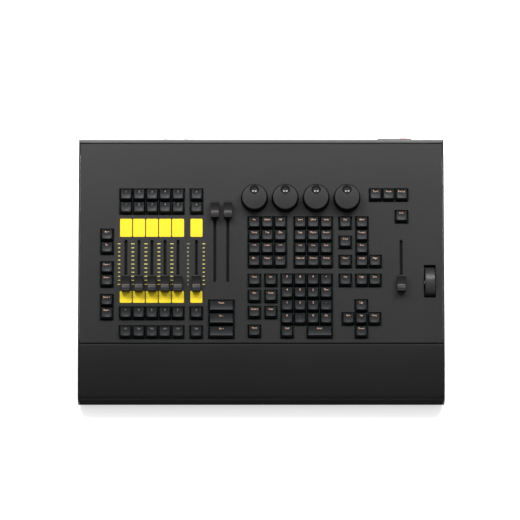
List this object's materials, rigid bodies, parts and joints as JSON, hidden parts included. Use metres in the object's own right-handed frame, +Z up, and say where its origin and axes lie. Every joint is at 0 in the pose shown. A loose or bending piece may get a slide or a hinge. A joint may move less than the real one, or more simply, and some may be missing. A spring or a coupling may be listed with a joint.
{
  "type": "lighting control desk",
  "caption": "Sloping desktop lighting console with banks of square keys, slide faders, rotary encoders, a level wheel, a rounded wrist rest and rear sockets.",
  "frame": {"origin": "centre of the footprint on the surface the feet stand on", "axes": "+X to the operator's right, +Y to the rear, +Z up"},
  "size_m": [0.536, 0.3933, 0.0925],
  "materials": {
    "case_paint": "fine-textured powder coat, dark grey",
    "side_paint": "fine-textured powder coat, dark grey",
    "key_plastic": "near-black satin keycap with a small printed legend",
    "fader_plastic": "near-black cap with a light index line",
    "knob_plastic": "near-black soft-touch knob",
    "foil": "printed polyester foil",
    "label_yellow": "yellow write-on foil",
    "feet_rubber": "matt",
    "zinc": "zinc plated",
    "screw_black": "black oxide",
    "switch_plastic": "moulded switch housing",
    "fibreglass": "green solder mask",
    "component_black": "moulded packages",
    "brass_plated": "plated",
    "supply_metal": "plain sheet",
    "wire": "insulated wire and flat cable",
    "inlet_plastic": "moulded black",
    "rocker_red": "red translucent rocker",
    "socket_metal": "nickel shell",
    "socket_plastic": "moulded black"
  },
  "bodies": {
    "case": {"base_tray": "side_paint", "board_components": "component_black", "board_standoffs": "brass_plated", "case_screws": "screw_black", "control_panel": "case_paint", "data_sockets": "socket_metal", "dmx_sockets": "socket_metal", "encoder_bodies": "zinc", "fader_foil": "foil", "fader_tracks": "zinc", "frame_bars": "zinc", "key_switches": "switch_plastic", "label_fields": "label_yellow", "left_side_plate": "side_paint", "main_board": "fibreglass", "mains_inlet": "inlet_plastic", "mains_wiring": "wire", "midi_sockets": "socket_plastic", "panel_boards": "fibreglass", "power_supply": "supply_metal", "rear_panel": "case_paint", "ribbon_cables": "wire", "right_side_plate": "side_paint", "rubber_feet": "feet_rubber", "wheel_bracket": "zinc", "wrist_rest": "case_paint"},
    "executor_keys_row_1": {"executor_keys_row_1": "key_plastic"},
    "executor_keys_row_2": {"executor_keys_row_2": "key_plastic"},
    "executor_keys_row_3": {"executor_keys_row_3": "key_plastic"},
    "executor_keys_row_4": {"executor_keys_row_4": "key_plastic"},
    "page_keys": {"page_keys": "key_plastic"},
    "pause_key": {"pause_key": "key_plastic"},
    "go_back_key": {"go_back_key": "key_plastic"},
    "go_key": {"go_key": "key_plastic"},
    "programming_keys": {"programming_keys": "key_plastic"},
    "object_keys": {"object_keys": "key_plastic"},
    "modify_keys": {"modify_keys": "key_plastic"},
    "output_keys": {"output_keys": "key_plastic"},
    "edit_keys": {"edit_keys": "key_plastic"},
    "number_keys": {"number_keys": "key_plastic"},
    "shift_key": {"shift_key": "key_plastic"},
    "enter_key": {"enter_key": "key_plastic"},
    "cursor_keys": {"cursor_keys": "key_plastic"},
    "setup_keys": {"setup_keys": "key_plastic"},
    "blackout_key": {"blackout_key": "key_plastic"},
    "executor_fader_1": {"executor_fader_1": "fader_plastic"},
    "executor_fader_2": {"executor_fader_2": "fader_plastic"},
    "executor_fader_3": {"executor_fader_3": "fader_plastic"},
    "executor_fader_4": {"executor_fader_4": "fader_plastic"},
    "executor_fader_5": {"executor_fader_5": "fader_plastic"},
    "executor_fader_6": {"executor_fader_6": "fader_plastic"},
    "crossfader_a": {"crossfader_a": "fader_plastic"},
    "crossfader_b": {"crossfader_b": "fader_plastic"},
    "master_fader": {"master_fader": "fader_plastic"},
    "encoder_knob_1": {"encoder_knob_1": "knob_plastic"},
    "encoder_knob_2": {"encoder_knob_2": "knob_plastic"},
    "encoder_knob_3": {"encoder_knob_3": "knob_plastic"},
    "encoder_knob_4": {"encoder_knob_4": "knob_plastic"},
    "level_wheel": {"level_wheel": "knob_plastic"},
    "power_rocker": {"power_rocker": "rocker_red"}
  },
  "joints": [
    {"name": "executor_keys_row_1_press", "type": "slide", "parent": "case", "child": "executor_keys_row_1", "axis": [0, 0.0872, -0.9962], "range_m": [0, 0.0035], "stiffness_N_per_m": 1020, "springref_m": -0.0018},
    {"name": "executor_keys_row_2_press", "type": "slide", "parent": "case", "child": "executor_keys_row_2", "axis": [0, 0.0872, -0.9962], "range_m": [0, 0.0035], "stiffness_N_per_m": 1020, "springref_m": -0.0018},
    {"name": "executor_keys_row_3_press", "type": "slide", "parent": "case", "child": "executor_keys_row_3", "axis": [0, 0.0872, -0.9962], "range_m": [0, 0.0035], "stiffness_N_per_m": 1020, "springref_m": -0.0018},
    {"name": "executor_keys_row_4_press", "type": "slide", "parent": "case", "child": "executor_keys_row_4", "axis": [0, 0.0872, -0.9962], "range_m": [0, 0.0035], "stiffness_N_per_m": 1020, "springref_m": -0.0018},
    {"name": "page_keys_press", "type": "slide", "parent": "case", "child": "page_keys", "axis": [0, 0.0872, -0.9962], "range_m": [0, 0.0035], "stiffness_N_per_m": 1020, "springref_m": -0.0018},
    {"name": "pause_key_press", "type": "slide", "parent": "case", "child": "pause_key", "axis": [0, 0.0872, -0.9962], "range_m": [0, 0.0035], "stiffness_N_per_m": 170, "springref_m": -0.0018},
    {"name": "go_back_key_press", "type": "slide", "parent": "case", "child": "go_back_key", "axis": [0, 0.0872, -0.9962], "range_m": [0, 0.0035], "stiffness_N_per_m": 170, "springref_m": -0.0018},
    {"name": "go_key_press", "type": "slide", "parent": "case", "child": "go_key", "axis": [0, 0.0872, -0.9962], "range_m": [0, 0.0035], "stiffness_N_per_m": 170, "springref_m": -0.0018},
    {"name": "programming_keys_press", "type": "slide", "parent": "case", "child": "programming_keys", "axis": [0, 0.0872, -0.9962], "range_m": [0, 0.0035], "stiffness_N_per_m": 2040, "springref_m": -0.0018},
    {"name": "object_keys_press", "type": "slide", "parent": "case", "child": "object_keys", "axis": [0, 0.0872, -0.9962], "range_m": [0, 0.0035], "stiffness_N_per_m": 2040, "springref_m": -0.0018},
    {"name": "modify_keys_press", "type": "slide", "parent": "case", "child": "modify_keys", "axis": [0, 0.0872, -0.9962], "range_m": [0, 0.0035], "stiffness_N_per_m": 680, "springref_m": -0.0018},
    {"name": "output_keys_press", "type": "slide", "parent": "case", "child": "output_keys", "axis": [0, 0.0872, -0.9962], "range_m": [0, 0.0035], "stiffness_N_per_m": 1190, "springref_m": -0.0018},
    {"name": "edit_keys_press", "type": "slide", "parent": "case", "child": "edit_keys", "axis": [0, 0.0872, -0.9962], "range_m": [0, 0.0035], "stiffness_N_per_m": 1190, "springref_m": -0.0018},
    {"name": "number_keys_press", "type": "slide", "parent": "case", "child": "number_keys", "axis": [0, 0.0872, -0.9962], "range_m": [0, 0.0035], "stiffness_N_per_m": 2720, "springref_m": -0.0018},
    {"name": "shift_key_press", "type": "slide", "parent": "case", "child": "shift_key", "axis": [0, 0.0872, -0.9962], "range_m": [0, 0.0035], "stiffness_N_per_m": 170, "springref_m": -0.0018},
    {"name": "enter_key_press", "type": "slide", "parent": "case", "child": "enter_key", "axis": [0, 0.0872, -0.9962], "range_m": [0, 0.0035], "stiffness_N_per_m": 170, "springref_m": -0.0018},
    {"name": "cursor_keys_press", "type": "slide", "parent": "case", "child": "cursor_keys", "axis": [0, 0.0872, -0.9962], "range_m": [0, 0.0035], "stiffness_N_per_m": 850, "springref_m": -0.0018},
    {"name": "setup_keys_press", "type": "slide", "parent": "case", "child": "setup_keys", "axis": [0, 0.0872, -0.9962], "range_m": [0, 0.0035], "stiffness_N_per_m": 510, "springref_m": -0.0018},
    {"name": "blackout_key_press", "type": "slide", "parent": "case", "child": "blackout_key", "axis": [0, 0.0872, -0.9962], "range_m": [0, 0.0035], "stiffness_N_per_m": 170, "springref_m": -0.0018},
    {"name": "executor_fader_1_slide", "type": "slide", "parent": "case", "child": "executor_fader_1", "axis": [0, 0.9962, 0.0872], "range_m": [0, 0.06]},
    {"name": "executor_fader_2_slide", "type": "slide", "parent": "case", "child": "executor_fader_2", "axis": [0, 0.9962, 0.0872], "range_m": [0, 0.06]},
    {"name": "executor_fader_3_slide", "type": "slide", "parent": "case", "child": "executor_fader_3", "axis": [0, 0.9962, 0.0872], "range_m": [0, 0.06]},
    {"name": "executor_fader_4_slide", "type": "slide", "parent": "case", "child": "executor_fader_4", "axis": [0, 0.9962, 0.0872], "range_m": [0, 0.06]},
    {"name": "executor_fader_5_slide", "type": "slide", "parent": "case", "child": "executor_fader_5", "axis": [0, 0.9962, 0.0872], "range_m": [0, 0.06]},
    {"name": "executor_fader_6_slide", "type": "slide", "parent": "case", "child": "executor_fader_6", "axis": [0, 0.9962, 0.0872], "range_m": [0, 0.06]},
    {"name": "crossfader_a_slide", "type": "slide", "parent": "case", "child": "crossfader_a", "axis": [0, 0.9962, 0.0872], "range_m": [-0.1, 0]},
    {"name": "crossfader_b_slide", "type": "slide", "parent": "case", "child": "crossfader_b", "axis": [0, 0.9962, 0.0872], "range_m": [-0.1, 0]},
    {"name": "master_fader_slide", "type": "slide", "parent": "case", "child": "master_fader", "axis": [0, 0.9962, 0.0872], "range_m": [0, 0.06]},
    {"name": "encoder_knob_1_turn", "type": "hinge", "parent": "case", "child": "encoder_knob_1", "pos_m": [-0.01, 0.09927, 0.07056], "axis": [0, -0.0872, 0.9962], "continuous": true},
    {"name": "encoder_knob_2_turn", "type": "hinge", "parent": "case", "child": "encoder_knob_2", "pos_m": [0.0352, 0.09927, 0.07056], "axis": [0, -0.0872, 0.9962], "continuous": true},
    {"name": "encoder_knob_3_turn", "type": "hinge", "parent": "case", "child": "encoder_knob_3", "pos_m": [0.0804, 0.09927, 0.07056], "axis": [0, -0.0872, 0.9962], "continuous": true},
    {"name": "encoder_knob_4_turn", "type": "hinge", "parent": "case", "child": "encoder_knob_4", "pos_m": [0.1256, 0.09927, 0.07056], "axis": [0, -0.0872, 0.9962], "continuous": true},
    {"name": "level_wheel_turn", "type": "hinge", "parent": "case", "child": "level_wheel", "pos_m": [0.2471, -0.02097, 0.04398], "axis": [1, 0, 0], "continuous": true},
    {"name": "power_rocker_tip", "type": "hinge", "parent": "case", "child": "power_rocker", "pos_m": [0.2097, 0.18895, 0.046], "axis": [1, 0, 0], "range_deg": [0, 16]}
  ]
}
